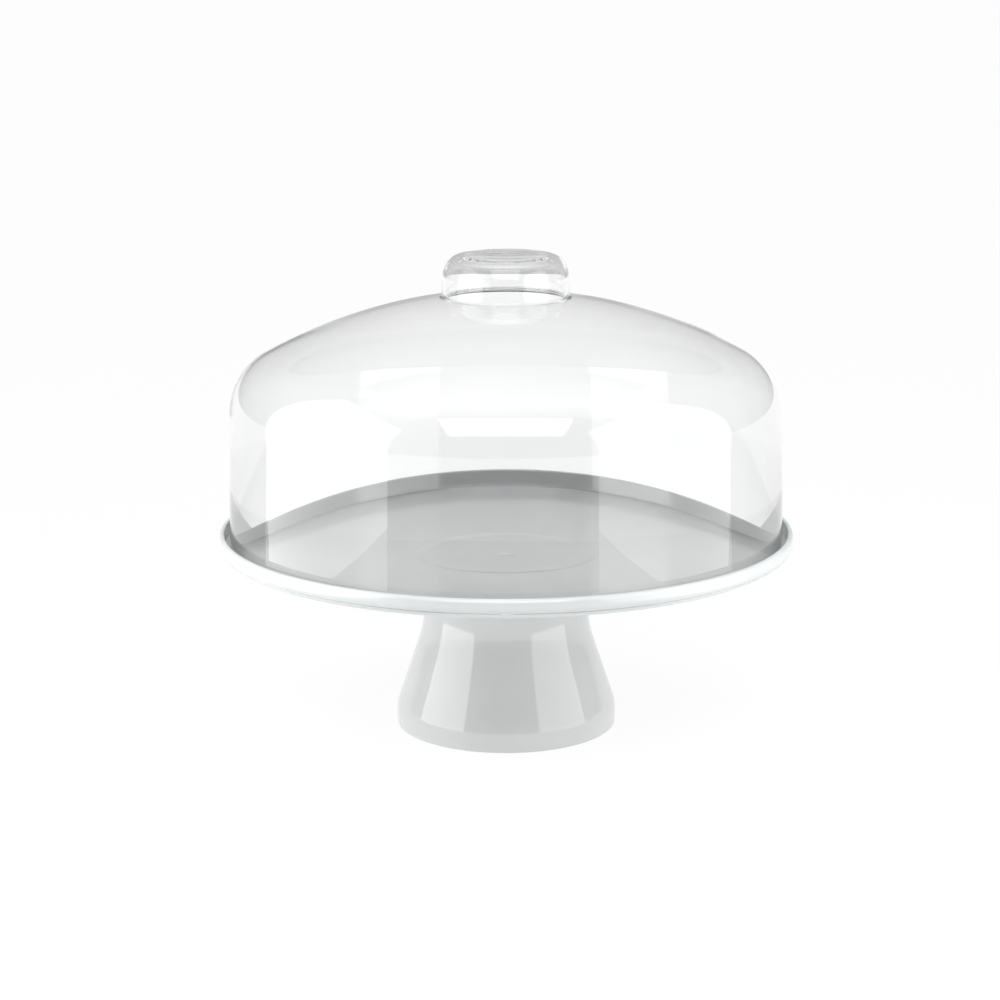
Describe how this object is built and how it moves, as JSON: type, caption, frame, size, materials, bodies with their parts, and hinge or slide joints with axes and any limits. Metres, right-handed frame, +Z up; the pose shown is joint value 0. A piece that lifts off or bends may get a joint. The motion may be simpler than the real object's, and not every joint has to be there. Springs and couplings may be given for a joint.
{
  "type": "cake stand with dome",
  "caption": "Round lipped cake plate on a hollow tapered pedestal, under a clear lift-off dome with a hollow moulded knob.",
  "frame": {"origin": "centre of the pedestal's foot, on the surface that it stands on", "axes": "+Z up along the stand's axis; the outside is round, and +X runs through the middle of the first lug of the twist lock when it is locked"},
  "size_m": [0.322, 0.322, 0.267],
  "materials": {
    "clear_shell": "clear, polished, water-white",
    "plate_plastic": "smooth gloss, pale grey-white",
    "pedestal_plastic": "smooth gloss, pale grey-white"
  },
  "bodies": {
    "pedestal": {"pedestal": "pedestal_plastic"},
    "plate": {"plate": "plate_plastic"},
    "dome": {"dome": "clear_shell"}
  },
  "joints": [
    {"name": "plate_twist", "type": "hinge", "parent": "pedestal", "child": "plate", "pos_m": [0, 0, 0.1033], "axis": [0, 0, 1], "range_deg": [0, 40]},
    {"name": "dome_lift", "type": "slide", "parent": "plate", "child": "dome", "axis": [0, 0, 1], "range_m": [0, 0.2]}
  ]
}
